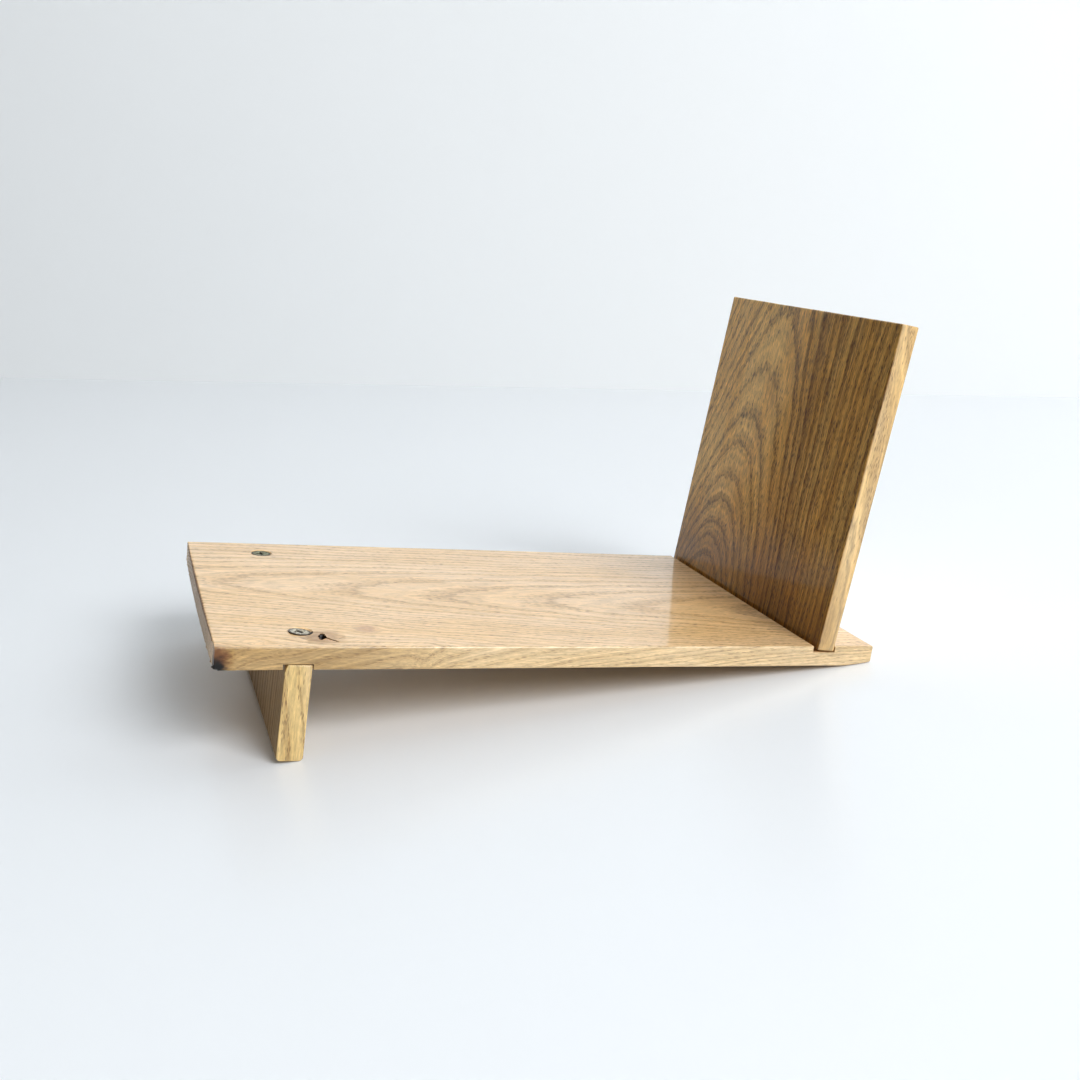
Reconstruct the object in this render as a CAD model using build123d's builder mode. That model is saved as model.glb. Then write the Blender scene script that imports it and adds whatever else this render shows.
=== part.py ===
from build123d import *
from math import cos, radians, sin, tan
import os

# Tilted wooden book stand: a base board carries an upright board in a cross dado near its low end and a
# foot board in a dado under its high end. Two screws hold each of them.
#
# Places on the base board are (s, n): s along the deck from the high end, n along the deck's normal, with
# the deck at n = 0. In the part's frame +X runs towards the upright, +Y away from the front edge, +Z up.

# Base board
board_length = 300.0
board_width = 151.5
board_thickness = 10.0
deck_tilt = 8.7  # degrees, the deck falls towards +X
heel_flat = 6.0  # sole facet under the low end, parallel to the shelf
heel_arc_length = 12.0  # curve that leads from the underside into the facet

# Upright board
upright_thickness = 9.3
upright_height = 150.6
upright_lean = 4.7  # degrees back from the deck's normal
upright_dado_start = 267.3
upright_dado_end = 278.7
upright_dado_depth = 3.0

# Foot board
foot_thickness = 11.0
foot_lean = 1.4  # degrees, the sole stands out towards the high end
foot_start = 28.2
foot_dado_start = 27.6
foot_dado_end = 39.3
foot_dado_depth = 2.6
foot_sole_radius = 2.0
foot_shoulder_width = 1.0  # bevel along the top of the foot's outer face
foot_shoulder_height = 3.4

# Arrises eased with sandpaper
eased = 0.8
eased_end = 0.5

# Small knot that has fallen out beside the front foot screw
knot_s = 44.0
knot_from_front_edge = 12.0
knot_width = 2.4
knot_length = 7.2
knot_depth = 4.0

# Countersunk wood screws
screw_length = 30.0
head_diameter = 9.0
head_rim = 0.35
shank_diameter = 3.4
core_diameter = 2.9
thread_diameter = 4.5
thread_pitch = 2.2
thread_flank = 0.9  # width of the thread's root along the core
thread_length = 17.0
thread_run_in = 0.6  # plain core between the thread and the shank
point_length = 4.0
recess_span = 4.9  # cross recess, from wing tip to wing tip
recess_wing = 1.05
recess_floor_span = 2.0
recess_floor_wing = 0.7
recess_depth = 2.6

# Screw places
screw_inset = 18.2  # from the long edges
foot_screw_s = 34.8
foot_screw_sink = 0.25
crooked_screw_tilt = 5.0  # degrees, the front foot screw went in off square
crooked_screw_bearing = 35.0  # degrees from +X along the deck, the way its head leans
crooked_screw_shift = 1.2
crooked_screw_sink = 0.05
upright_screw_sink = 0.6
recess_turns = {
    "foot_screw_front": 28.0,
    "foot_screw_back": 12.0,
    "upright_screw_front": 40.0,
    "upright_screw_back": 71.0,
}

# Clearances
shank_clearance = 0.6
head_clearance = 0.1
thread_clearance = 0.1


def direction(angle):
    """Unit vector in the XZ plane: +X turned down by the angle, in degrees."""
    return Vector(cos(radians(angle)), 0, -sin(radians(angle)))


def side_plane(origin, tilt):
    """Plane of a side view: x falls by the tilt, y is its normal in the XZ plane, z faces the front."""
    return Plane(origin=origin, x_dir=direction(tilt), z_dir=(0, -1, 0))


# The low end's sole facet lies on z = 0, and the part is centred on its own width and length
heel_radius = heel_arc_length / radians(deck_tilt)
heel_run = heel_radius * sin(radians(deck_tilt)) + heel_flat * cos(radians(deck_tilt))
heel_rise = heel_radius * (1 - cos(radians(deck_tilt))) + heel_flat * sin(radians(deck_tilt))
high_end_z = board_length * sin(radians(deck_tilt)) + (board_thickness - heel_rise) * cos(radians(deck_tilt))

uncentred = side_plane((0, 0, high_end_z), deck_tilt)
upright_foot_s = upright_dado_end - upright_dado_depth * tan(radians(upright_lean))
upright_angle = deck_tilt + upright_lean
upright_corner = uncentred.from_local_coords((upright_foot_s, -upright_dado_depth))
upright_round = direction(upright_angle) * (upright_thickness - eased) + direction(
    upright_angle - 90
) * (upright_height - eased)
back_reach = (
    upright_corner.X - upright_thickness * cos(radians(upright_angle)) + upright_round.X + eased
)
front_reach = -(board_thickness - eased_end) * sin(radians(deck_tilt)) + eased_end * (
    cos(radians(deck_tilt)) - 1
)
high_end = Vector(-(back_reach + front_reach) / 2, 0, high_end_z)

board_side = side_plane(high_end, deck_tilt)
deck = Plane(origin=high_end, x_dir=direction(deck_tilt), z_dir=direction(deck_tilt - 90))
upright_side = side_plane(
    board_side.from_local_coords((upright_foot_s, -upright_dado_depth)), upright_angle
)
foot_angle = deck_tilt + foot_lean
foot_top = board_side.from_local_coords((foot_start, foot_dado_depth - board_thickness))
foot_side = side_plane(foot_top, foot_angle)

# The foot's length follows from the tilt: the rounded inner edge of its sole just touches z = 0
foot_height = foot_sole_radius + (
    foot_top.Z
    - (foot_thickness - foot_sole_radius) * sin(radians(foot_angle))
    - foot_sole_radius
) / cos(radians(foot_angle))
print(f"foot height {foot_height:.2f}, high end z {high_end_z:.2f}, origin shift {high_end.X:.2f}")


def seat_plane(name, s, n, y, outward):
    """Plane across a screw's head: its z leaves the head, its x follows a wing of the cross recess."""
    origin = board_side.from_local_coords((s, n, -y))
    wing = Vector(0, 1, 0).cross(outward).rotate(Axis(origin, outward), recess_turns[name])
    return Plane(origin=origin, x_dir=wing, z_dir=outward)


screw_y = board_width / 2 - screw_inset
upright_screw_s = (
    upright_foot_s
    - upright_thickness / 2 / cos(radians(upright_lean))
    - (board_thickness - upright_dado_depth) * tan(radians(upright_lean))
)
crooked_lean = deck.x_dir * cos(radians(crooked_screw_bearing)) + deck.y_dir * sin(
    radians(crooked_screw_bearing)
)
crooked_outward = (deck.z_dir + crooked_lean * tan(radians(crooked_screw_tilt))).normalized()

screw_seats = {}
for name, s, n, y, outward in (
    (
        "foot_screw_front",
        foot_screw_s + crooked_screw_shift,
        -crooked_screw_sink,
        -screw_y,
        crooked_outward,
    ),
    ("foot_screw_back", foot_screw_s, -foot_screw_sink, screw_y, deck.z_dir),
    (
        "upright_screw_front",
        upright_screw_s,
        upright_screw_sink - board_thickness,
        -screw_y,
        -upright_side.y_dir,
    ),
    (
        "upright_screw_back",
        upright_screw_s,
        upright_screw_sink - board_thickness,
        screw_y,
        -upright_side.y_dir,
    ),
):
    screw_seats[name] = seat_plane(name, s, n, y, outward)
foot_seats = [screw_seats["foot_screw_front"], screw_seats["foot_screw_back"]]
upright_seats = [screw_seats["upright_screw_front"], screw_seats["upright_screw_back"]]


# Base board: a plank with its heel curved up to the shelf, two cross dados, four screw holes and a knot hole
with BuildPart() as base_board:
    with BuildSketch(board_side):
        with BuildLine():
            heel_start = (board_length - heel_run, -board_thickness)
            heel = JernArc(start=heel_start, tangent=(1, 0), radius=heel_radius, arc_size=deck_tilt)
            Polyline(
                heel @ 1,
                (board_length, heel_rise - board_thickness),
                (board_length, 0),
                (0, 0),
                (0, -board_thickness),
                heel_start,
            )
        make_face()
    extrude(amount=board_width / 2, both=True)
    long_arrises = base_board.edges().filter_by(board_side, reverse=False).group_by(Axis.Y)
    fillet(long_arrises[0] + long_arrises[-1], eased)
    end_arrises = base_board.edges().filter_by(Axis.Y).group_by(Axis.X)[0]
    fillet(end_arrises, eased_end)
    with BuildSketch(board_side):
        with Locations(((upright_dado_start + upright_dado_end) / 2, 0)):
            Rectangle(upright_dado_end - upright_dado_start, 2 * upright_dado_depth)
        with Locations(((foot_dado_start + foot_dado_end) / 2, -board_thickness)):
            Rectangle(foot_dado_end - foot_dado_start, 2 * foot_dado_depth)
    extrude(amount=board_width, both=True, mode=Mode.SUBTRACT)
    with Locations(*foot_seats, *upright_seats):
        CounterSinkHole(
            radius=(shank_diameter + shank_clearance) / 2,
            counter_sink_radius=head_diameter / 2 + head_rim + head_clearance,
            depth=screw_length,
        )
    with BuildSketch(deck):
        with Locations((knot_s, knot_from_front_edge - board_width / 2)):
            Ellipse(knot_width / 2, knot_length / 2)
    extrude(amount=-knot_depth, mode=Mode.SUBTRACT)
base_board.part.label = "base_board"
export_step(base_board.part, "parts/base_board.step")


# Upright board: stands in the deck's dado and leans back on the dado's far arris
with BuildPart() as upright_board:
    with BuildSketch(upright_side):
        Rectangle(upright_thickness, upright_height, align=(Align.MAX, Align.MIN))
    extrude(amount=board_width / 2, both=True)
    fillet(upright_board.edges(), eased)
    with Locations(*upright_seats):
        Hole(radius=(thread_diameter + thread_clearance) / 2, depth=screw_length + 1)
upright_board.part.label = "upright_board"
export_step(upright_board.part, "parts/upright_board.step")


# Foot board: hangs in the underside's dado, with a rounded sole and a bevelled outer shoulder
with BuildPart() as foot_board:
    with BuildSketch(foot_side):
        Rectangle(foot_thickness, foot_height, align=(Align.MIN, Align.MAX))
    extrude(amount=board_width / 2, both=True)
    shoulder = foot_board.edges().filter_by(Axis.Y).sort_by(Axis.Z)[-1]
    outer_face = foot_board.faces().sort_by(Axis.X)[0]
    chamfer(shoulder, foot_shoulder_height, foot_shoulder_width, reference=outer_face)
    sole_edges = foot_board.edges().filter_by(Axis.Y).sort_by(Axis.Z)[:2]
    fillet(sole_edges, foot_sole_radius)
    with Locations(*foot_seats):
        Hole(radius=(thread_diameter + thread_clearance) / 2, depth=screw_length + 1)
foot_board.part.label = "foot_board"
export_step(foot_board.part, "parts/foot_board.step")


def cross(span, wing):
    """Cross of two bars, the outline of a cross recess."""
    Rectangle(span, wing)
    Rectangle(wing, span)


def wood_screw(seat):
    """Countersunk wood screw with a cross recess; the top of its head lies on the seat plane."""
    axis = Axis(seat.origin, seat.z_dir)
    axial = Plane(origin=seat.origin, x_dir=seat.x_dir, z_dir=-seat.y_dir)
    head_bottom = head_rim + (head_diameter - shank_diameter) / 2
    thread_start = screw_length - point_length - thread_length - thread_run_in
    with BuildPart() as screw:
        with BuildSketch(axial):
            with BuildLine():
                Polyline(
                    (0, 0),
                    (head_diameter / 2, 0),
                    (head_diameter / 2, -head_rim),
                    (shank_diameter / 2, -head_bottom),
                    (shank_diameter / 2, -thread_start),
                    (core_diameter / 2, -thread_start - head_rim),
                    (core_diameter / 2, point_length - screw_length),
                    (0, -screw_length),
                    close=True,
                )
            make_face()
        revolve(axis=axis)
        root = seat.offset(point_length - screw_length).origin
        with BuildLine() as thread:
            Helix(thread_pitch, thread_length, core_diameter / 2, center=root, direction=seat.z_dir)
        helix = thread.line
        with BuildSketch(Plane(origin=helix @ 0, x_dir=helix @ 0 - root, z_dir=helix % 0)):
            with BuildLine():
                Polyline(
                    (-thread_flank / 4, -thread_flank / 2),
                    ((thread_diameter - core_diameter) / 2, 0),
                    (-thread_flank / 4, thread_flank / 2),
                    close=True,
                )
            make_face()
        sweep(path=helix, is_frenet=True)
        with BuildSketch(seat):
            cross(recess_span, recess_wing)
        with BuildSketch(seat.offset(-recess_depth)):
            cross(recess_floor_span, recess_floor_wing)
        loft(mode=Mode.SUBTRACT)
    return screw


for name, seat in screw_seats.items():
    screw = wood_screw(seat)
    screw.part.label = name
    export_step(screw.part, f"parts/{name}.step")
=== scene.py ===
# %% [markdown]
# # A small book stand, from plank to varnish
#
# The stand is three short boards of ring-porous wood. The long one lies tilted as a base, one stands in a
# dado near its low end, and a narrow one hangs under its high end as a foot. Four countersunk screws hold
# them. The CAD model already has every size and fit, so this lesson starts from it and adds what a hand and
# the years give: planed faces that are not quite flat, eased arrises, a rough end, and above all wood
# figure that runs through the whole board.

# %% The fixed frame
import bpy
import math
from mathutils import Matrix, Vector


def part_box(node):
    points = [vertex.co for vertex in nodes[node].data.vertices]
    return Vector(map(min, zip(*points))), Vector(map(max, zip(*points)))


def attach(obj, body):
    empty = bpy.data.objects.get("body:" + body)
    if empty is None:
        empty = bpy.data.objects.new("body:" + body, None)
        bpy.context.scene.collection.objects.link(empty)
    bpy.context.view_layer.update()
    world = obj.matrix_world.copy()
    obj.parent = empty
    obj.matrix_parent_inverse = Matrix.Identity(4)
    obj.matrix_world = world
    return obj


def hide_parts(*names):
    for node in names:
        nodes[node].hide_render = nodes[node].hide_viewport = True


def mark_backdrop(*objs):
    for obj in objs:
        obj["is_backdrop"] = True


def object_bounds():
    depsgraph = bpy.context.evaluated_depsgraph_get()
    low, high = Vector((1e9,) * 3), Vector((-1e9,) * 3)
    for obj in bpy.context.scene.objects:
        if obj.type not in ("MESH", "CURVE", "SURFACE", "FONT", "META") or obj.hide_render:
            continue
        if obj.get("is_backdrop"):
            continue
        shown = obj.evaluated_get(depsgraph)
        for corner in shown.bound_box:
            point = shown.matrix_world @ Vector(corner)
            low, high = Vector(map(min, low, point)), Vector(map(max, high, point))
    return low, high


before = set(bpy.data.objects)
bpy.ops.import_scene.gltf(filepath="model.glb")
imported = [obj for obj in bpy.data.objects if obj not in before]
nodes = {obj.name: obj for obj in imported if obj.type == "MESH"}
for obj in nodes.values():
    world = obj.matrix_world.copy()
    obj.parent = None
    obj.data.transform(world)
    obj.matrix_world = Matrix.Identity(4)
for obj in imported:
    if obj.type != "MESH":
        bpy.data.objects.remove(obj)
cad_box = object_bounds()
MM = 0.001
for name in sorted(nodes):
    low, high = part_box(name)
    print(f"{name}: {[round(x / MM, 1) for x in low]} to {[round(x / MM, 1) for x in high]} mm")

# %% [markdown]
# ## Where each board lies
#
# A board is easiest to work on when it lies flat: grain along X, width along Y, its show face on z = 0 and
# the wood below it. Each finished board is then turned about Y and carried to its place, and the same
# turn and place tell the wood finish where the grain runs. The places could be typed in as they are, but
# a few driving sizes, the same as the CAD model's, say where they come from.

# %% Driving sizes and places
BOARD_LENGTH = 300.0 * MM
BOARD_WIDTH = 151.5 * MM
BOARD_THICKNESS = 10.0 * MM
UPRIGHT_HEIGHT = 150.6 * MM
UPRIGHT_THICKNESS = 9.3 * MM
FOOT_THICKNESS = 11.0 * MM
DECK_TILT = math.radians(8.7)
UPRIGHT_TILT = math.radians(8.7 + 4.7)
FOOT_TILT = math.radians(8.7 + 1.4)
HEEL_FLAT = 6.0 * MM
HEEL_ARC = 12.0 * MM
UPRIGHT_DADO = (267.3 * MM, 278.7 * MM, 3.0 * MM)  # from, to, depth
FOOT_DADO = (27.6 * MM, 39.3 * MM, 2.6 * MM)
FOOT_START = 28.2 * MM
SOLE_RADIUS = 2.0 * MM


def along(tilt):
    """Unit vector that points to +X, turned down by the tilt."""
    return Vector((math.cos(tilt), 0, -math.sin(tilt)))


def above(tilt):
    """Unit vector that points up, turned towards +X by the tilt."""
    return Vector((math.sin(tilt), 0, math.cos(tilt)))


heel_radius = HEEL_ARC / DECK_TILT
heel_run = heel_radius * math.sin(DECK_TILT) + HEEL_FLAT * math.cos(DECK_TILT)
heel_rise = heel_radius * (1 - math.cos(DECK_TILT)) + HEEL_FLAT * math.sin(DECK_TILT)
high_end_z = BOARD_LENGTH * math.sin(DECK_TILT) + (BOARD_THICKNESS - heel_rise) * math.cos(DECK_TILT)
base_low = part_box("base_board")[0]
front_reach = BOARD_THICKNESS * math.sin(DECK_TILT)
HIGH_END = Vector((base_low.x + front_reach, 0, high_end_z))


def on_base(s, n):
    """The point s along the deck from its high end and n above it."""
    return HIGH_END + along(DECK_TILT) * s + above(DECK_TILT) * n


upright_heel = UPRIGHT_DADO[1] - UPRIGHT_DADO[2] * math.tan(UPRIGHT_TILT - DECK_TILT)
upright_corner = on_base(upright_heel, -UPRIGHT_DADO[2]) - along(UPRIGHT_TILT) * UPRIGHT_THICKNESS
foot_corner = on_base(FOOT_START, FOOT_DADO[2] - BOARD_THICKNESS)
foot_inner = foot_corner + along(FOOT_TILT) * (FOOT_THICKNESS - SOLE_RADIUS)
FOOT_HEIGHT = SOLE_RADIUS + (foot_inner.z - SOLE_RADIUS) / math.cos(FOOT_TILT)

quarter = math.radians(90)
PLACES = {  # corner of the show face, and turn about Y
    "base_board": (HIGH_END, DECK_TILT),
    "upright_board": (upright_corner, UPRIGHT_TILT - quarter),
    "foot_board": (foot_corner, FOOT_TILT - quarter),
}
for name, (corner, turn) in PLACES.items():
    corner_mm = [round(x / MM, 2) for x in corner]
    print(f"{name}: corner {corner_mm} mm, turned {math.degrees(turn):.1f} degrees")

# %% [markdown]
# ## A plank and the tools that shape it
#
# These are the bench tools of the lesson. A plank starts as a cube of the right size. A plane cut is a
# bisect that clears one side and fills the gap, a chisel or a drill is a boolean with a tool that is then
# thrown away, and sandpaper on the arrises is a bevel. Each one works on one board at a time.

# %% Bench tools
FINEST = 0.0005 * MM  # points closer than this to a cut count as on it
SOFTEST_ARRIS = math.radians(30)  # sharper corners than this are sanded


def pick(piece):
    """Makes one piece the only one that the operators act on."""
    bpy.ops.object.select_all(action="DESELECT")
    piece.select_set(True)
    bpy.context.view_layer.objects.active = piece


def settle():
    """Puts the new object's place, turn and size into its mesh."""
    bpy.ops.object.transform_apply(location=True, rotation=True, scale=True)
    return bpy.context.active_object


def block(size, centre, turn=(0, 0, 0)):
    """A block of that size, settled."""
    bpy.ops.object.select_all(action="DESELECT")
    bpy.ops.mesh.primitive_cube_add(size=1, location=centre, rotation=turn, scale=size)
    return settle()


def plank(name, start, length, thickness):
    """A board lying flat: grain along X, show face on z = 0."""
    board = block((length, BOARD_WIDTH, thickness), (start + length / 2, 0, -thickness / 2))
    board.name = name
    return board


def plane_off(board, point, normal):
    """Planes away what lies beyond a plane, and leaves a closed face."""
    pick(board)
    bpy.ops.object.mode_set(mode="EDIT")
    bpy.ops.mesh.select_all(action="SELECT")
    bpy.ops.mesh.bisect(plane_co=point, plane_no=normal, use_fill=True, clear_outer=True, threshold=FINEST)
    bpy.ops.object.mode_set(mode="OBJECT")


def apply_modifier(piece, modifier):
    pick(piece)
    bpy.ops.object.modifier_apply(modifier=modifier.name)


def take_out(board, tool):
    """Cuts the tool's shape out of the board and throws the tool away."""
    cut = board.modifiers.new("cut", "BOOLEAN")
    cut.operation = "DIFFERENCE"
    cut.solver = "MANIFOLD"
    cut.object = tool
    apply_modifier(board, cut)
    bpy.data.objects.remove(tool)


def ease_arrises(board, radius):
    """Sandpaper along every sharp arris."""
    bevel = board.modifiers.new("sandpaper", "BEVEL")
    bevel.width = radius
    bevel.segments = 3
    bevel.limit_method = "ANGLE"
    bevel.angle_limit = SOFTEST_ARRIS
    bevel.use_clamp_overlap = True
    apply_modifier(board, bevel)


# %% [markdown]
# ## A surface that can show the hand plane
#
# A real board is never as flat as CAD draws it: the plane leaves shallow hollows a few centimetres wide
# that bend reflections. A flat face has no points in between to move, so the board is first scored with a
# grid of cuts, and a soft cloud then pushes the points inwards by a tenth of a millimetre or two. Inwards
# only, so that the board never outgrows its CAD size.

# %% Scoring and hand planing
ALONG, ACROSS, THROUGH = 0, 1, 2  # the axes of a flat board
INWARDS = 1.3  # above 1, so that every point of the cloud presses in
SMOOTH_BELOW = math.radians(35)


def score(board, axis, start, stop, step):
    """Cuts new edges across the board, without opening it, at even steps along an axis."""
    pick(board)
    bpy.ops.object.mode_set(mode="EDIT")
    direction = [0.0, 0.0, 0.0]
    direction[axis] = 1.0
    for i in range(1, round((stop - start) / step)):
        point = [0.0, 0.0, 0.0]
        point[axis] = start + i * step
        bpy.ops.mesh.select_all(action="SELECT")
        bpy.ops.mesh.bisect(plane_co=point, plane_no=direction, threshold=FINEST)
    bpy.ops.object.mode_set(mode="OBJECT")


def hollow(board, name, depth, size, group=""):
    """Presses soft hollows of that depth and size into the surface, never outwards."""
    clouds = bpy.data.textures.new(name, "CLOUDS")
    clouds.noise_scale = size
    clouds.noise_depth = 1
    press = board.modifiers.new(name, "DISPLACE")
    press.texture = clouds
    press.texture_coords = "LOCAL"
    press.strength = depth
    press.mid_level = INWARDS
    press.vertex_group = group
    apply_modifier(board, press)


def put_in_place(board):
    """Turns the flat board about Y, carries it to its place, and smooths its shading."""
    corner, turn = PLACES[board.name.replace("_planed", "")]
    pick(board)
    board.location = corner
    board.rotation_euler = (0, turn, 0)
    settle()
    bpy.ops.object.shade_smooth_by_angle(angle=SMOOTH_BELOW)
    flats = board.modifiers.new("keep_flats_flat", "WEIGHTED_NORMAL")
    flats.keep_sharp = True
    apply_modifier(board, flats)


# %% [markdown]
# ## The base board
#
# The base is the longest piece. Its high end bows out by nearly a millimetre, its heel is planed round so
# that it stands on a narrow facet, and two dados cross it: one on top for the upright, one below for the
# foot. The bow and the heel could be modelled by moving points, but a row of plane cuts, each turned a
# little more than the last, is closer to how such a curve is planed by hand.

# %% Base board: outline
END_BOW = 0.9 * MM
CROSSCUT_SPARE = 1.0 * MM  # wood left beyond the high end for the bowed cut to take away
BOW_CUTS = 9
HEEL_CUTS = 6

base = plank("base_board_planed", -CROSSCUT_SPARE, BOARD_LENGTH + CROSSCUT_SPARE, BOARD_THICKNESS)
bow_radius = (BOARD_WIDTH / 2) ** 2 / (2 * END_BOW)
for i in range(BOW_CUTS):
    y = BOARD_WIDTH * (i / (BOW_CUTS - 1) - 0.5)
    lean = y / bow_radius
    plane_off(base, (y * y / (2 * bow_radius), y, 0), (-math.cos(lean), math.sin(lean), 0))

heel_start = BOARD_LENGTH - heel_run
for i in range(HEEL_CUTS):
    lean = DECK_TILT * (i + 0.5) / HEEL_CUTS
    point = (
        heel_start + heel_radius * math.sin(lean),
        0,
        heel_radius * (1 - math.cos(lean)) - BOARD_THICKNESS,
    )
    plane_off(base, point, (math.sin(lean), 0, -math.cos(lean)))
facet = (BOARD_LENGTH, 0, heel_rise - BOARD_THICKNESS)
plane_off(base, facet, (math.sin(DECK_TILT), 0, -math.cos(DECK_TILT)))
ease_arrises(base, 0.8 * MM)
print(f"base board: {len(base.data.polygons)} faces after planing")

# %% [markdown]
# A dado is a trench across the grain, sawn at both sides and chiselled flat. The block that is taken out is
# twice as deep as the dado and stands half out of the face, and it is wider than the board, so that no thin
# skin is left anywhere.

# %% Base board: dados
for start, end, depth, face in (
    (*UPRIGHT_DADO, 0.0),
    (*FOOT_DADO, -BOARD_THICKNESS),
):
    size = (end - start, BOARD_WIDTH * 1.1, 2 * depth)
    take_out(base, block(size, ((start + end) / 2, 0, face)))

# %% [markdown]
# Screw holes are drilled with a bit and opened with a countersink. Both tools are round shapes: a cylinder
# for the bore and a cone for the head, each taken out along the screw's own axis. The front screw went in a
# little off square, so its hole leans with it.

# %% Screw places and holes
SCREW_LENGTH = 30.0 * MM
HEAD_RADIUS = 4.5 * MM
HEAD_RIM = 0.35 * MM
THREAD_RADIUS = 2.25 * MM
SHANK_HOLE = 2.0 * MM
SCREW_Y = BOARD_WIDTH / 2 - 18.2 * MM
FOOT_SCREW_S = 34.8 * MM
CROOKED_SHIFT = 1.2 * MM
CROOKED_TILT = math.radians(5)
CROOKED_BEARING = math.radians(35)
UPRIGHT_SINK = 0.6 * MM

square = Vector((0, 0, 1))
crooked = Vector(
    (
        math.cos(CROOKED_BEARING) * math.tan(CROOKED_TILT),
        math.sin(CROOKED_BEARING) * math.tan(CROOKED_TILT),
        1,
    )
).normalized()
lean_back = UPRIGHT_TILT - DECK_TILT
into_upright = Vector((-math.sin(lean_back), 0, -math.cos(lean_back)))
upright_screw_s = (
    upright_heel
    - UPRIGHT_THICKNESS / 2 / math.cos(lean_back)
    - (BOARD_THICKNESS - UPRIGHT_DADO[2]) * math.tan(lean_back)
)
underside = UPRIGHT_SINK - BOARD_THICKNESS
SEATS = {  # top of the head on the flat base board, and the way the head faces
    "foot_screw_front": (Vector((FOOT_SCREW_S + CROOKED_SHIFT, -SCREW_Y, -0.05 * MM)), crooked),
    "foot_screw_back": (Vector((FOOT_SCREW_S, SCREW_Y, -0.25 * MM)), square),
    "upright_screw_front": (Vector((upright_screw_s, -SCREW_Y, underside)), into_upright),
    "upright_screw_back": (Vector((upright_screw_s, SCREW_Y, underside)), into_upright),
}


def bore(board, top, axis, radius, bottom_radius, depth, rise=0.0):
    """Drills a round or conical hole down from a point, against the axis."""
    bpy.ops.object.select_all(action="DESELECT")
    bpy.ops.mesh.primitive_cone_add(
        vertices=48,
        radius1=bottom_radius,
        radius2=radius,
        depth=depth,
        location=top + axis * (rise - depth / 2),
        rotation=axis.to_track_quat("Z", "Y").to_euler(),
    )
    take_out(board, settle())


RISE = 2.0 * MM  # how far each tool stands out of the face
SINK_TOP = HEAD_RADIUS + HEAD_RIM + 0.1 * MM + RISE  # a 90 degree countersink
SINK_TIP = SHANK_HOLE - 0.5 * MM  # the cone ends inside the bore, never on its wall
for seat, axis in SEATS.values():
    bore(base, seat, axis, SHANK_HOLE, SHANK_HOLE, 2 * BOARD_THICKNESS, rise=RISE)
    bore(base, seat, axis, SINK_TOP, SINK_TIP, SINK_TOP - SINK_TIP, rise=RISE)
print(f"base board: {len(base.data.polygons)} faces after drilling")

# %% [markdown]
# A small knot has dropped out beside the front screw and left a ragged pit with a check running off it, and
# the lower corner of the high end still has a bite of bark that the saw missed. All three are lumps pressed
# out of shape with noise and then cut away, because a clean ellipsoid would look drilled.

# %% Knot pit and bark corner
KNOT = Vector((44.0 * MM, 12.0 * MM - BOARD_WIDTH / 2, 0))


def rough_lump(size, centre, turn, name, depth, grit):
    """A lump with a broken surface, to be taken out of a board."""
    bpy.ops.object.select_all(action="DESELECT")
    bpy.ops.mesh.primitive_ico_sphere_add(
        subdivisions=4, radius=0.5, location=centre, scale=size
    )
    lump = bpy.context.active_object
    lump.rotation_euler = turn
    settle()
    hollow(lump, name, depth, grit)
    return lump


take_out(
    base,
    rough_lump((5.5 * MM, 9.5 * MM, 9 * MM), KNOT, (0, 0, -0.3), "knot_wall", 1.6 * MM, 1.8 * MM),
)
take_out(
    base,
    rough_lump(
        (1.4 * MM, 10 * MM, 4 * MM),
        KNOT + Vector((3.0 * MM, -3.0 * MM, 0)),
        (0, 0, 0.75),
        "knot_check",
        0.5 * MM,
        1.0 * MM,
    ),
)
BARK_CORNER = Vector((END_BOW, -BOARD_WIDTH / 2, -BOARD_THICKNESS))
take_out(
    base,
    rough_lump((8 * MM, 7 * MM, 5 * MM), BARK_CORNER, (0, 0.5, 0), "bark_wall", 1.2 * MM, 1.5 * MM),
)

# %% [markdown]
# With all its cuts made, the board is scored, closest at the sawn end. That end was never planed, so it
# gets short, sharp hollows of its own, held to it by a vertex group.

# %% Base board: score, roughen, place
SAWN_DEPTH = 1.3 * MM
HALF_WIDTH = BOARD_WIDTH / 2
score(base, ALONG, 0, BOARD_LENGTH, 3 * MM)
score(base, ALONG, 0, 3.2 * MM, 0.8 * MM)
score(base, ACROSS, -HALF_WIDTH, HALF_WIDTH, 1.5 * MM)
score(base, THROUGH, -BOARD_THICKNESS, 0, 2.5 * MM)
hollow(base, "base_planing", 0.22 * MM, 35 * MM)
sawn = base.vertex_groups.new(name="sawn_end")
sawn.add([v.index for v in base.data.vertices if v.co.x < SAWN_DEPTH], 1.0, "REPLACE")
hollow(base, "saw_marks", 0.3 * MM, 2.2 * MM, "sawn_end")
put_in_place(base)
print(f"base board: {len(base.data.polygons)} faces when done")

# %% [markdown]
# ## The upright and the foot
#
# Both are short boards whose grain stands upright. The upright is a plain board with every arris eased. The
# foot has a rounded sole and a bevel on its outer shoulder, where it slides into the dado. Each gets its
# own screw bores, in line with the holes in the base.

# %% Upright and foot
def from_base(point, board_name):
    """Carries a point from the flat base board's frame to another flat board's frame."""
    corner, turn = PLACES[board_name]
    world = HIGH_END + Matrix.Rotation(DECK_TILT, 3, "Y") @ point
    return Matrix.Rotation(-turn, 3, "Y") @ (world - corner)


THREAD_PLAY = 0.05 * MM


def drill_for(board, board_name, screws):
    """Bores the screw holes of a board that the base is screwed to."""
    origin = from_base(Vector((0, 0, 0)), board_name)
    for screw in screws:
        seat, axis = SEATS[screw]
        top = from_base(seat, board_name)
        facing = from_base(axis, board_name) - origin
        radius = THREAD_RADIUS + THREAD_PLAY
        bore(board, top, facing, radius, radius, SCREW_LENGTH + 1 * MM, rise=1 * MM)


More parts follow.
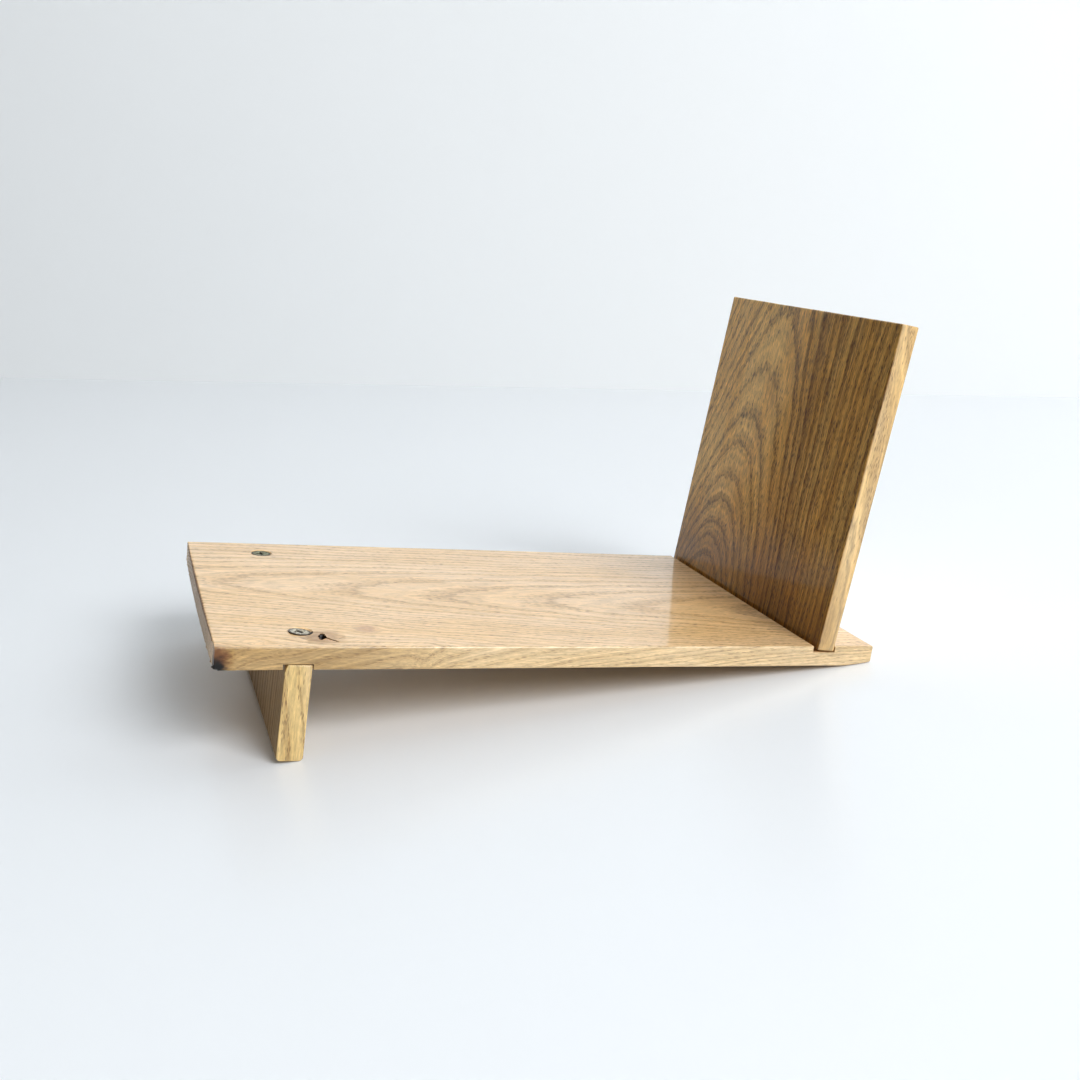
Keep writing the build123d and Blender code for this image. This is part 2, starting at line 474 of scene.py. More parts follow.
upright = plank("upright_board_planed", 0.0, UPRIGHT_HEIGHT, UPRIGHT_THICKNESS)
ease_arrises(upright, 0.8 * MM)
drill_for(upright, "upright_board", ("upright_screw_front", "upright_screw_back"))
score(upright, ALONG, 0, UPRIGHT_HEIGHT, 2.5 * MM)
score(upright, ACROSS, -HALF_WIDTH, HALF_WIDTH, 2.5 * MM)
hollow(upright, "upright_planing", 0.2 * MM, 30 * MM)
put_in_place(upright)

SHOULDER_WIDTH = 1.0 * MM
SHOULDER_HEIGHT = 3.4 * MM
SOLE_CUTS = 5
foot = plank("foot_board_planed", -FOOT_HEIGHT, FOOT_HEIGHT, FOOT_THICKNESS)
shoulder_normal = (SHOULDER_WIDTH, 0, SHOULDER_HEIGHT)
plane_off(foot, (-SHOULDER_HEIGHT, 0, 0), shoulder_normal)
for z in (-SOLE_RADIUS, SOLE_RADIUS - FOOT_THICKNESS):
    for step in range(SOLE_CUTS):
        lean = quarter * (step + 0.5) / SOLE_CUTS
        side = 1 if z == -SOLE_RADIUS else -1
        normal = Vector((-math.cos(lean), 0, side * math.sin(lean)))
        centre = Vector((SOLE_RADIUS - FOOT_HEIGHT, 0, z))
        plane_off(foot, centre + normal * SOLE_RADIUS, normal)
ease_arrises(foot, 0.6 * MM)
drill_for(foot, "foot_board", ("foot_screw_front", "foot_screw_back"))
score(foot, ALONG, -FOOT_HEIGHT, 0, 2.5 * MM)
score(foot, ACROSS, -HALF_WIDTH, HALF_WIDTH, 2.5 * MM)
hollow(foot, "foot_planing", 0.15 * MM, 25 * MM)
put_in_place(foot)

# %% [markdown]
# The three boards are handed to the frame: each rides on the stand's one body and takes the place of its
# CAD board. The printed clearances say how far inside the CAD box each one stays on every side.

# %% Hand the boards over
for piece in (base, upright, foot):
    piece.data.materials.clear()  # the cuts leave an empty slot behind
    node = piece.name.replace("_planed", "")
    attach(piece, "root")
    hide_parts(node)
    low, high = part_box(node)
    mine = [piece.matrix_world @ v.co for v in piece.data.vertices]
    spare = [(min(p[i] for p in mine) - low[i], high[i] - max(p[i] for p in mine)) for i in range(3)]
    spare = [(round(a / MM, 2), round(b / MM, 2)) for a, b in spare]
    print(f"{piece.name}: inside the CAD box by {spare} mm")

# %% [markdown]
# ## Wood figure
#
# Ring-porous wood is drawn by its growth rings. Seen from the end they are circles about the pith, and a
# board is a straight cut through cones of them, which is why a flat-sawn face shows nested arches. So the
# finish asks one question at every point of the board: how far is this point from the pith? Everything
# else, on faces, edges and ends alike, follows from the answer. A flat image of wood grain would be
# quicker, but it never agrees with itself round a corner.
#
# The helpers below write sums as chains of Math nodes, so that the groups can be read like formulas.

# %% Node helpers
def plug(tree, socket, value):
    """Sets a socket, or links it when the value is another node's output."""
    if hasattr(value, "links"):
        tree.links.new(value, socket)
    else:
        socket.default_value = value


def number(tree, operation, *values, clamp=False):
    """A Math node; each value is a number or another node's output."""
    node = tree.nodes.new("ShaderNodeMath")
    node.operation = operation
    node.use_clamp = clamp
    for socket, value in zip(node.inputs, values):
        plug(tree, socket, value)
    return node.outputs[0]


def vector(tree, operation, *values):
    """A Vector Math node; lengths and distances come out as a number."""
    node = tree.nodes.new("ShaderNodeVectorMath")
    node.operation = operation
    for socket, value in zip(node.inputs, values):
        plug(tree, socket, value)
    return node.outputs["Value" if operation in ("LENGTH", "DISTANCE", "DOT_PRODUCT") else "Vector"]


def components(tree, place):
    """The x, y and z of a place."""
    node = tree.nodes.new("ShaderNodeSeparateXYZ")
    tree.links.new(place, node.inputs[0])
    return node.outputs


def smooth(tree, value, low, high):
    """0 below low, 1 above high, and soft between."""
    node = tree.nodes.new("ShaderNodeMapRange")
    node.interpolation_type = "SMOOTHSTEP"
    for name, setting in (("Value", value), ("From Min", low), ("From Max", high)):
        plug(tree, node.inputs[name], setting)
    return node.outputs["Result"]


def inverse(tree, mask):
    return number(tree, "SUBTRACT", 1.0, mask)


def centred(tree, noise):
    """A noise that swings about zero instead of a half."""
    return number(tree, "SUBTRACT", noise.outputs[0], 0.5)


def blend(tree, share, first, second, mode="MIX"):
    """Mixes two colours by a share."""
    node = tree.nodes.new("ShaderNodeMix")
    node.data_type = "RGBA"
    node.blend_type = mode
    for socket, value in ((node.inputs[0], share), (node.inputs[6], first), (node.inputs[7], second)):
        plug(tree, socket, value)
    return node.outputs[2]


def stretched(tree, place, sizes, kind="ShaderNodeTexNoise", **settings):
    """A noise whose cells are that many millimetres long, wide and deep."""
    node = tree.nodes.new(kind)
    node.inputs["Scale"].default_value = 1.0
    for name, value in settings.items():
        node.inputs[name].default_value = value
    tree.links.new(vector(tree, "DIVIDE", place, sizes), node.inputs["Vector"])
    return node


def new_group(name, inputs, outputs):
    """A shader node group with these named sockets, and its input and output nodes."""
    tree = bpy.data.node_groups.new(name, "ShaderNodeTree")
    for label, kind, value in inputs:
        socket = tree.interface.new_socket(label, in_out="INPUT", socket_type="NodeSocket" + kind)
        if value is not None:
            socket.default_value = value
    for label, kind in outputs:
        tree.interface.new_socket(label, in_out="OUTPUT", socket_type="NodeSocket" + kind)
    return tree, tree.nodes.new("NodeGroupInput").outputs, tree.nodes.new("NodeGroupOutput").inputs


def use_group(tree, group, **inputs):
    """Puts a shared group in a material; each input is a value or another node's output."""
    node = tree.nodes.new("ShaderNodeGroup")
    node.node_tree = group
    for label, value in inputs.items():
        plug(tree, node.inputs[label.replace("_", " ").title()], value)
    return node.outputs


# %% [markdown]
# The pith is never quite straight nor parallel to the board. Its line across the board drifts and bends,
# and so does its depth below the face; where the depth changes along the grain, the arches appear. Rings
# are also rounder on one side of the tree than on the other, so each side has its own squeeze.

# %% Distance from the pith
pith, given, result = new_group(
    "distance_from_pith",
    [
        ("Place", "Vector", None),
        ("Middle", "Float", 0.0),
        ("Line", "Float", 0.0),
        ("Line Drift", "Float", 0.0),
        ("Line Bend", "Float", 0.0),
        ("Depth", "Float", 100.0),
        ("Depth Drift", "Float", 0.0),
        ("Depth Bend", "Float", 0.0),
        ("Front Squeeze", "Float", 1.0),
        ("Back Squeeze", "Float", 1.0),
        ("Waver", "Float", 0.5),
        ("Ripple", "Float", 0.1),
    ],
    [("Distance", "Float")],
)
DRIFT_RUN = 100.0  # drifts and bends are given per this many millimetres along the grain
PITH_BLUR = 12.0  # one side's squeeze fades into the other's over this far about the pith's line
x, y, z = components(pith, given["Place"])
run = number(pith, "DIVIDE", number(pith, "SUBTRACT", x, given["Middle"]), DRIFT_RUN)


def drifting(start, drift, bend):
    """start + run * (drift + run * bend)"""
    slope = number(pith, "MULTIPLY_ADD", run, given[bend], given[drift])
    return number(pith, "MULTIPLY_ADD", run, slope, given[start])


waver = centred(pith, stretched(pith, given["Place"], (70.0, 28.0, 28.0), Detail=1.0))
ripple = centred(pith, stretched(pith, given["Place"], (16.0, 3.0, 3.0), Detail=3.0))
sideways = number(pith, "SUBTRACT", y, drifting("Line", "Line Drift", "Line Bend"))
sideways = number(pith, "MULTIPLY_ADD", waver, given["Waver"], sideways)
behind = smooth(pith, sideways, -PITH_BLUR, PITH_BLUR)
extra = number(pith, "SUBTRACT", given["Back Squeeze"], given["Front Squeeze"])
squeeze = number(pith, "MULTIPLY_ADD", behind, extra, given["Front Squeeze"])
sideways = number(pith, "MULTIPLY", sideways, squeeze)
deep = number(pith, "ADD", drifting("Depth", "Depth Drift", "Depth Bend"), z)
squares = number(pith, "MULTIPLY_ADD", sideways, sideways, number(pith, "MULTIPLY", deep, deep))
away = number(pith, "SQRT", squares)
pith.links.new(number(pith, "MULTIPLY_ADD", ripple, given["Ripple"], away), result["Distance"])

# %% [markdown]
# A knot is a branch that the rings had to flow around. The swirl group pushes the place of every point
# away from the knot before the rings are drawn, so the lines part and close again. The push is strongest
# close by and dies away like a bell curve.

# %% Swirl round a knot
swirl, given, result = new_group(
    "swirl_round_knot",
    [("Place", "Vector", None), ("Knot", "Vector", None), ("Reach", "Float", 10.0), ("Push", "Float", 4.0)],
    [("Place", "Vector")],
)
KNOT_SHAPE = (0.6, 1.0, 0.35)  # below 1 where the swirl reaches further: along the grain, and deep
offset = vector(swirl, "SUBTRACT", given["Place"], given["Knot"])
far = vector(swirl, "LENGTH", vector(swirl, "MULTIPLY", offset, KNOT_SHAPE))
ratio = number(swirl, "DIVIDE", far, given["Reach"])
near = number(swirl, "EXPONENT", number(swirl, "MULTIPLY", number(swirl, "MULTIPLY", ratio, ratio), -1.0))
outward = number(swirl, "DIVIDE", components(swirl, offset)[1], number(swirl, "ADD", far, 1.0))
push = number(swirl, "MULTIPLY", number(swirl, "MULTIPLY", outward, near), given["Push"])
shift = swirl.nodes.new("ShaderNodeCombineXYZ")
swirl.links.new(number(swirl, "MULTIPLY", push, -1.0), shift.inputs[1])
swirl.links.new(vector(swirl, "ADD", given["Place"], shift.outputs[0]), result["Place"])

# %% [markdown]
# Each ring starts in spring with a band of wide pores and ends in dense, smooth summer wood. The pores are
# tubes along the grain: dashes on a face, dots on an end. One Voronoi pattern with long cells gives both,
# because it is solid. Fine fibre streaks and slow changes of tone lie over everything.

# %% Ring-porous wood
wood, given, result = new_group(
    "ring_porous_wood",
    [
        ("Place", "Vector", None),
        ("Ring", "Float", 0.0),
        ("Summer Wood", "Color", (0.72, 0.49, 0.25, 1)),
        ("Golden Wood", "Color", (0.62, 0.38, 0.14, 1)),
        ("Spring Wood", "Color", (0.45, 0.27, 0.12, 1)),
        ("Pore", "Color", (0.14, 0.07, 0.03, 1)),
        ("Spring Share", "Float", 0.3),
        ("Spring Depth", "Float", 0.8),
        ("Pore Amount", "Float", 0.8),
        ("Streaks", "Float", 0.7),
        ("Faint Lines", "Float", 0.5),
    ],
    [("Color", "Color"), ("Spring", "Float"), ("Height", "Float")],
)
grain_place = given["Place"]
speckle = centred(wood, stretched(wood, grain_place, (3.0, 0.55, 0.55), Detail=2.0, Roughness=0.7))
tone = stretched(wood, grain_place, (90.0, 22.0, 22.0), Detail=2.0)
patch = centred(wood, stretched(wood, grain_place, (60.0, 9.0, 9.0), Detail=2.0))
fibre = stretched(wood, grain_place, (16.0, 0.8, 0.8), Detail=3.0, Roughness=0.65)
broken = stretched(wood, grain_place, (7.0, 1.1, 1.1), Detail=2.0, Roughness=0.7)

# the year: 0 where it starts, 1 where it ends, with an edge made ragged by the fibres
RAGGED = 0.16
year = number(wood, "FRACT", number(wood, "MULTIPLY_ADD", speckle, RAGGED, given["Ring"]))
chance = wood.nodes.new("ShaderNodeTexWhiteNoise")
chance.noise_dimensions = "1D"
wood.links.new(number(wood, "FLOOR", given["Ring"]), chance.inputs["W"])
chance = chance.outputs[0]

# the spring band: how wide this year's is, and where in it this point lies
share = number(wood, "MULTIPLY_ADD", chance, 0.2, given["Spring Share"])
share = number(wood, "MULTIPLY_ADD", patch, 0.5, share)
band_end = number(wood, "MAXIMUM", number(wood, "MULTIPLY", share, 1.45), 0.2)
fading = inverse(wood, smooth(wood, year, 0.06, band_end))
spring = number(wood, "MULTIPLY", smooth(wood, year, 0.0, 0.09), fading)
strong = number(wood, "MULTIPLY_ADD", chance, 0.4, 0.5)
grit = number(wood, "MULTIPLY_ADD", smooth(wood, broken.outputs[0], 0.3, 0.62), 0.7, 0.45)
dense = number(wood, "MULTIPLY", number(wood, "MULTIPLY", spring, strong), grit)
dense = number(wood, "MULTIPLY", dense, given["Spring Depth"], clamp=True)

# the colour: pale or golden summer wood, dark spring wood, a thin dark line where the year ends
gold = smooth(wood, tone.outputs[0], 0.38, 0.62)
color = blend(wood, gold, given["Summer Wood"], given["Golden Wood"])
color = blend(wood, dense, color, given["Spring Wood"])
late = number(wood, "MULTIPLY", smooth(wood, year, 0.7, 1.0), 0.2)
color = blend(wood, late, color, given["Spring Wood"])

# lighter and darker fibres: faint lines that follow the rings, and streaks of three sizes
faint = wood.nodes.new("ShaderNodeTexNoise")
faint.noise_dimensions = "1D"
faint.inputs["Scale"].default_value = 5.0
faint.inputs["Detail"].default_value = 2.0
wood.links.new(given["Ring"], faint.inputs["W"])
streaks = number(wood, "MULTIPLY_ADD", centred(wood, broken), 0.6, centred(wood, fibre))
streaks = number(wood, "MULTIPLY_ADD", speckle, 0.8, streaks)
lines = number(wood, "MULTIPLY", centred(wood, faint), given["Faint Lines"])
light = number(wood, "MULTIPLY_ADD", streaks, given["Streaks"], lines)
bright = wood.nodes.new("ShaderNodeHueSaturation")
wood.links.new(number(wood, "ADD", light, 1.0), bright.inputs["Value"])
wood.links.new(color, bright.inputs["Color"])

# the pores: one per long cell, kept by chance, and far more of them in spring wood
cells = stretched(wood, grain_place, (3.6, 0.55, 0.55), "ShaderNodeTexVoronoi")
open_pore = inverse(wood, smooth(wood, cells.outputs["Distance"], 0.2, 0.46))
crowd = number(wood, "MULTIPLY_ADD", spring, 0.95, 0.1)
draw = wood.nodes.new("ShaderNodeSeparateColor")
wood.links.new(cells.outputs["Color"], draw.inputs[0])
kept = smooth(wood, number(wood, "SUBTRACT", crowd, draw.outputs[0]), -0.02, 0.1)
pores = number(wood, "MULTIPLY", number(wood, "MULTIPLY", open_pore, kept), given["Pore Amount"])
wood.links.new(blend(wood, pores, bright.outputs[0], given["Pore"]), result["Color"])
wood.links.new(spring, result["Spring"])
height = number(wood, "SUBTRACT", number(wood, "MULTIPLY", fibre.outputs[0], 0.15), pores)
wood.links.new(height, result["Height"])

# %% [markdown]
# ## Varnished boards
#
# A board isn't the same all over. Its edges differ in tone, partly as painted shade, its end drank more
# varnish, and a knot stains the wood about it. So a soft box picks out a part of the board, in the board's
# own millimetres, and other groups are told to change only there. Painting a mask by hand would also do,
# but a box can be measured.

# %% A mask for part of a board
region, given, result = new_group(
    "soft_region",
    [
        ("Place", "Vector", None),
        ("Low", "Vector", (-1000.0, -1000.0, -1000.0)),
        ("High", "Vector", (1000.0, 1000.0, 1000.0)),
        ("Soft", "Vector", (0.4, 0.4, 0.4)),
    ],
    [("Mask", "Float")],
)
mask = 1.0
for spot, low, high, soft in zip(*(components(region, given[x]) for x in ("Place", "Low", "High", "Soft"))):
    above_low = smooth(region, spot, number(region, "SUBTRACT", low, soft), low)
    above_high = smooth(region, spot, high, number(region, "ADD", high, soft))
    mask = number(region, "MULTIPLY", mask, number(region, "SUBTRACT", above_low, above_high))
region.links.new(mask, result["Mask"])

BEYOND = 500.0  # past the end of any board, in millimetres
NEAR_SIDE = -HALF_WIDTH / MM


def near_edge(reach=BEYOND, fade=1.0):
    """The near edge, up to that reach along the grain."""
    return {"high": (reach, NEAR_SIDE + 0.35, BEYOND), "soft": (fade, 0.5, 1.0)}


def show_face(reach=BEYOND, fade=1.0, near=NEAR_SIDE + 0.65, far=BEYOND, side_fade=0.5):
    """The show face, up to that reach along the grain and between two lines across it."""
    return {"low": (-BEYOND, near, -0.6), "high": (reach, far, BEYOND), "soft": (fade, side_fade, 0.5)}


def sawn_end(depth, fade):
    """The base board's sawn end, down to a depth along the grain."""
    return {"high": (depth, BEYOND, BEYOND), "soft": (fade, 1.0, 1.0)}


def knot_pit(skin, fade):
    """The inside of the pit and its check, from that far below the face."""
    return {"low": (38.0, -71.0, -9.0), "high": (53.0, -57.0, -skin), "soft": (1.0, 1.0, fade)}


END_ARRIS = {"low": (-BEYOND, -BEYOND, -0.8), "high": (1.0, BEYOND, BEYOND), "soft": (0.5, 1.0, 0.4)}
BARK = {"high": (8.0, NEAR_SIDE + 0.75, -2.0), "soft": (2.0, 0.6, 1.5)}
BEHIND_FACE = {"high": (BEYOND, BEYOND, -0.9), "soft": (1.0, 0.5, 0.6)}

# %% [markdown]
# Each board has its own rings: how far from the pith each year ended, in millimetres. A Float Curve turns
# that distance into a count of rings, which is the honest way to have wide and narrow years. Over the wood
# lies clear varnish: a coat with its own smooth surface, so the pores show through it and only dent it.
#
# One function finishes all three boards. Changes add to a setting of the wood in one part of the board,
# tints stain a round spot with a torn border, washes darken a part, and bare parts have lost their varnish.

# %% Varnished wood
def new_material(name):
    """An empty material, its nodes and its surface."""
    material = bpy.data.materials.new(name)
    material.use_nodes = True
    return material, material.node_tree, material.node_tree.nodes["Principled BSDF"]


def own_place(tree, corner, turn):
    """The place of a point in a piece's own millimetres."""
    place = tree.nodes.new("ShaderNodeMapping")
    place.vector_type = "TEXTURE"
    place.inputs["Location"].default_value = corner
    place.inputs["Rotation"].default_value = turn
    place.inputs["Scale"].default_value = (MM, MM, MM)
    tree.links.new(tree.nodes.new("ShaderNodeTexCoord").outputs["Object"], place.inputs["Vector"])
    return place.outputs[0]


def dent(tree, surface, height, strength, depth):
    """Bump, for what is too fine to be cut into the mesh."""
    bump = tree.nodes.new("ShaderNodeBump")
    bump.inputs["Strength"].default_value = strength
    bump.inputs["Distance"].default_value = depth
    tree.links.new(height, bump.inputs["Height"])
    tree.links.new(bump.outputs[0], surface.inputs["Normal"])


def part_mask(tree, place, limits):
    return use_group(tree, region, place=place, **limits)["Mask"]


def torn_spot(tree, place, centre, reach):
    """A mask for a round spot with a torn border."""
    torn = stretched(tree, place, (reach * 0.5, reach * 0.3, reach * 0.3), Detail=3.0)
    gap = number(tree, "MULTIPLY_ADD", torn.outputs[0], reach, vector(tree, "DISTANCE", place, centre))
    return inverse(tree, smooth(tree, gap, reach * 0.8, reach * 1.5))


def ring_count(tree, distance, radii):
    """How many years lie between the first radius and this distance."""
    span = radii[-1] - radii[0]
    years = len(radii) - 1
    curve = tree.nodes.new("ShaderNodeFloatCurve")
    points = curve.mapping.curves[0].points
    for i, radius in enumerate(radii[1:-1], start=1):
        points.new((radius - radii[0]) / span, i / years)
    for point in points:
        point.handle_type = "VECTOR"
    curve.mapping.update()
    share = number(tree, "DIVIDE", number(tree, "SUBTRACT", distance, radii[0]), span)
    tree.links.new(share, curve.inputs["Value"])
    return number(tree, "MULTIPLY", curve.outputs[0], float(years))


def finish_wood(
    name, board_name, figure, radii, knots=(), changes=(), tints=(), washes=(), bare=(), **palette
):
    """A varnished board material; the grain follows the board's own place and turn."""
    material, tree, surface = new_material(name)
    corner, turn = PLACES[board_name]
    place = own_place(tree, corner, (0, turn, 0))
    swirled = place
    for knot, reach, push in knots:
        swirled = use_group(tree, swirl, place=swirled, knot=knot, reach=reach, push=push)["Place"]
    distance = use_group(tree, pith, place=swirled, **figure)["Distance"]
    ring = ring_count(tree, distance, radii)
    for label, extra, limits in changes:
        mask = part_mask(tree, place, limits)
        palette[label] = number(tree, "MULTIPLY_ADD", mask, extra, palette[label])
    grain = use_group(tree, wood, place=swirled, ring=ring, **palette)

    color = grain["Color"]
    for centre, reach, tint, amount in tints:
        share = number(tree, "MULTIPLY", torn_spot(tree, place, centre, reach), amount)
        color = blend(tree, share, color, tint)
    for wash, limits in washes:
        color = blend(tree, part_mask(tree, place, limits), color, wash, "MULTIPLY")
    plug(tree, surface.inputs["Base Color"], color)
    dent(tree, surface, grain["Height"], 0.35, 0.15 * MM)
    plug(tree, surface.inputs["Roughness"], number(tree, "MULTIPLY_ADD", grain["Spring"], 0.15, 0.42))

    coat = 1.0
    for limits in bare:
        left = number(tree, "MULTIPLY_ADD", part_mask(tree, place, limits), -0.85, 1.0)
        coat = number(tree, "MINIMUM", coat, left)
    plug(tree, surface.inputs["Coat Weight"], coat)
    surface.inputs["Coat Roughness"].default_value = 0.1
    surface.inputs["Coat IOR"].default_value = 1.5
    return material


# %% [markdown]
# The base board was sawn far from the pith, so its rings are almost flat and its arches long. The knot
# beside the front screw has dropped out, a second one shows as a faint red patch, and two more bend the
# lines of the near edge. The near corner is stained by bark.

# %% Base board: finish
base_radii = (
    150, 154, 158, 161, 163.5, 165.5, 167.3, 168.9, 170.8, 172.5, 174.8, 176.6, 178.2, 179.5, 181,
    182.5, 184.4, 186.2, 188, 190.5, 193, 196, 199, 202.5, 206, 210, 215,
)
base_figure = {
    "middle": 150.0,
    "line": -15.1,
    "line_drift": -13.1,
    "line_bend": 2.4,
    "depth": 169.7,
    "depth_drift": -3.66,
    "depth_bend": 0.29,
    "front_squeeze": 1.67,
    "back_squeeze": 1.0,
    "waver": 6.0,
    "ripple": 1.1,
}
knot_place = (KNOT.x / MM, KNOT.y / MM, 0)
pale_knot = (64.0, -54.0, 0)
base.data.materials.append(
    finish_wood(
        "varnished_base",
        "base_board",
        base_figure,
        base_radii,
        knots=(
            (knot_place, 9.0, 5.0),
            (pale_knot, 8.0, 4.0),
            ((17.0, -70.0, -4.0), 10.0, 5.0),
            ((84.0, -77.0, -6.0), 12.0, 7.0),
        ),
        changes=(("pore_amount", -0.33, near_edge()),),
        tints=(
            (pale_knot, 7.0, (0.45, 0.22, 0.12, 1), 0.5),
            ((3.0, NEAR_SIDE, -5.0), 7.0, (0.26, 0.085, 0.035, 1), 0.85),  # bark, red inside
            ((2.0, NEAR_SIDE, -9.0), 6.5, (0.004, 0.003, 0.002, 1), 1.0),  # and black outside
            (knot_place, 10.0, (0.40, 0.20, 0.10, 1), 0.5),
        ),
        washes=(
            ((0.66, 0.58, 0.42, 1), near_edge(reach=40.0, fade=80.0)),
            ((0.78, 0.84, 0.90, 1), near_edge()),
            ((0.60, 0.56, 0.48, 1), sawn_end(depth=0.6, fade=0.8)),
            ((0.42, 0.34, 0.26, 1), END_ARRIS),
            # painted shade: near black inside the knot pit and its check
            ((0.03, 0.022, 0.018, 1), knot_pit(skin=0.45, fade=0.4)),
        ),
        bare=(sawn_end(depth=0.9, fade=1.5), BARK, knot_pit(skin=0.3, fade=0.3)),
        summer_wood=(0.85, 0.585, 0.32, 1),
        golden_wood=(0.81, 0.53, 0.25, 1),
        spring_wood=(0.50, 0.30, 0.125, 1),
        pore=(0.17, 0.085, 0.035, 1),
        spring_depth=0.7,
        pore_amount=0.78,
        streaks=0.85,
        faint_lines=0.6,
    )
)

# %% [markdown]
# The upright was sawn closer to the pith, which lies behind its far half: steep arches there, and straight
# lines towards the near edge. Its show face is the darkest of the three, painted darker as shade because it
# is turned away from the window, and darker still towards the dado, where it meets the deck; its rings are
# drawn more strongly there than on the back and the edges. Its near edge is painted darker as shade too.

# %% Upright: finish
upright_radii = (
    10, 16, 22, 28, 33, 38, 41.5, 44.3, 48.6, 52.6, 57.5, 61.4, 66.6, 71.8, 75.1, 79, 83.4, 86.8,
    90.5, 94.3, 98, 102, 105.2, 109, 113, 118, 124,
)
upright_figure = {
    "middle": 75.0,
    "line": 32.85,
    "line_drift": -17.3,
    "line_bend": -4.95,
    "depth": 57.9,
    "depth_drift": 26.1,
    "depth_bend": -8.5,
    "front_squeeze": 1.0,
    "back_squeeze": 1.216,
    "waver": 6.0,
    "ripple": 2.6,
}
upright.data.materials.append(
    finish_wood(
        "varnished_upright",
        "upright_board",
        upright_figure,
        upright_radii,
        changes=(
            ("spring_share", 0.42, show_face(far=-30.0, side_fade=45.0)),
            ("spring_depth", -0.3, show_face(near=30.0, side_fade=50.0)),
            ("spring_depth", -0.55, BEHIND_FACE),
            ("streaks", -0.9, BEHIND_FACE),
            ("pore_amount", -0.45, BEHIND_FACE),
        ),
        washes=(
            # painted shade: the near edge darker all along, and darker still near the deck
            ((0.76, 0.70, 0.61, 1), near_edge()),
            ((0.84, 0.82, 0.79, 1), near_edge(reach=15.0, fade=40.0)),
            # painted shade: the show face, turned away from the window, darker and warmer, and darker still
            # towards the dado
            ((0.98, 0.86, 0.48, 1), show_face()),
            ((0.60, 0.49, 0.26, 1), show_face(reach=5.0, fade=50.0)),
            ((0.86, 0.82, 0.76, 1), show_face(far=-30.0, side_fade=60.0)),
        ),
        summer_wood=(0.84, 0.63, 0.35, 1),
        golden_wood=(0.78, 0.53, 0.22, 1),
        spring_wood=(0.24, 0.125, 0.036, 1),
        pore=(0.06, 0.026, 0.008, 1),
        spring_share=0.28,
        spring_depth=1.0,
        pore_amount=1.0,
        streaks=1.6,
        faint_lines=1.0,
    )
)

# %% [markdown]
# The foot is the shortest board, and its rings are the most even. Its outer face is dull, with hardly any
# varnish left, and painted darker as the shade it stands in under the deck.

# %% Foot: finish
foot_radii = (
    40, 45, 49, 54, 58, 63, 68, 72, 77, 81, 86, 90, 95, 99, 104, 108, 112, 115, 117.5, 120.25, 123, 127,
)
foot_figure = {
    "middle": -20.0,
    "line": 30.0,
    "line_drift": -10.0,
    "depth": 60.0,
    "depth_drift": 5.0,
    "waver": 3.0,
    "ripple": 1.0,
}
foot.data.materials.append(
    finish_wood(
        "varnished_foot",
        "foot_board",
        foot_figure,
        foot_radii,
        # painted shade: the outer face, in the shadow under the deck, darker and warmer
        washes=(((0.60, 0.50, 0.28, 1), show_face()),),
        bare=(show_face(),),
        summer_wood=(0.68, 0.49, 0.25, 1),
        golden_wood=(0.60, 0.42, 0.17, 1),
        spring_wood=(0.33, 0.19, 0.06, 1),
        pore=(0.11, 0.055, 0.02, 1),
        pore_amount=0.65,
        streaks=0.9,
    )
)

# %% [markdown]
# ## Screws
#
# The screws are zinc plated steel. Their heads have met a driver: bright where it rubbed, and dark in the
# cross with old varnish and dust and with painted shade. Their shapes are right in the CAD model, so they
# stay, and only get a metal finish. The dark recess is found by measuring how deep a point lies below the
# head.

# %% Screw metal
zinc, given, result = new_group(
    "worn_screw_head",
    [
        ("Place", "Vector", None),
        ("Plating", "Color", (0.6, 0.6, 0.55, 1)),
        ("Grime", "Float", 0.5),
        ("Dullness", "Float", 0.2),
    ],
    [("Color", "Color"), ("Roughness", "Float"), ("Metallic", "Float"), ("Height", "Float")],
)
RECESS_RADIUS = (2.9, 3.4)  # where the dark of the cross ends
RECESS_DEPTH = (-0.5, -0.04)
across = vector(zinc, "LENGTH", vector(zinc, "MULTIPLY", given["Place"], (1.0, 1.0, 0.0)))
# painted shade and dust: the cross recess goes near black below the head's top and inside its radius
below = inverse(zinc, smooth(zinc, components(zinc, given["Place"])[2], *RECESS_DEPTH))
recess = number(zinc, "MULTIPLY", below, inverse(zinc, smooth(zinc, across, *RECESS_RADIUS)))
dull = stretched(zinc, given["Place"], (1.6, 1.1, 1.6), Detail=4.0, Roughness=0.65).outputs[0]
scratch = stretched(zinc, given["Place"], (0.2, 4.0, 2.0), Detail=2.0).outputs[0]
rim = smooth(zinc, across, RECESS_RADIUS[1], HEAD_RADIUS / MM)
stain = smooth(zinc, number(zinc, "MULTIPLY_ADD", rim, 0.22, dull), 0.45, 0.62)
grime = number(zinc, "MULTIPLY", stain, given["Grime"])
color = blend(zinc, grime, given["Plating"], (0.06, 0.04, 0.022, 1))
# the near-black colour of the recess: dust and painted shade
zinc.links.new(blend(zinc, recess, color, (0.008, 0.007, 0.006, 1)), result["Color"])
rough = number(zinc, "MULTIPLY_ADD", dull, 0.35, given["Dullness"])
zinc.links.new(number(zinc, "MULTIPLY_ADD", recess, 0.4, rough), result["Roughness"])
hidden = number(zinc, "MAXIMUM", recess, number(zinc, "MULTIPLY", stain, 0.7))
zinc.links.new(number(zinc, "MULTIPLY_ADD", hidden, -0.9, 1.0), result["Metallic"])
zinc.links.new(number(zinc, "MULTIPLY_ADD", dull, 2.0, scratch), result["Height"])


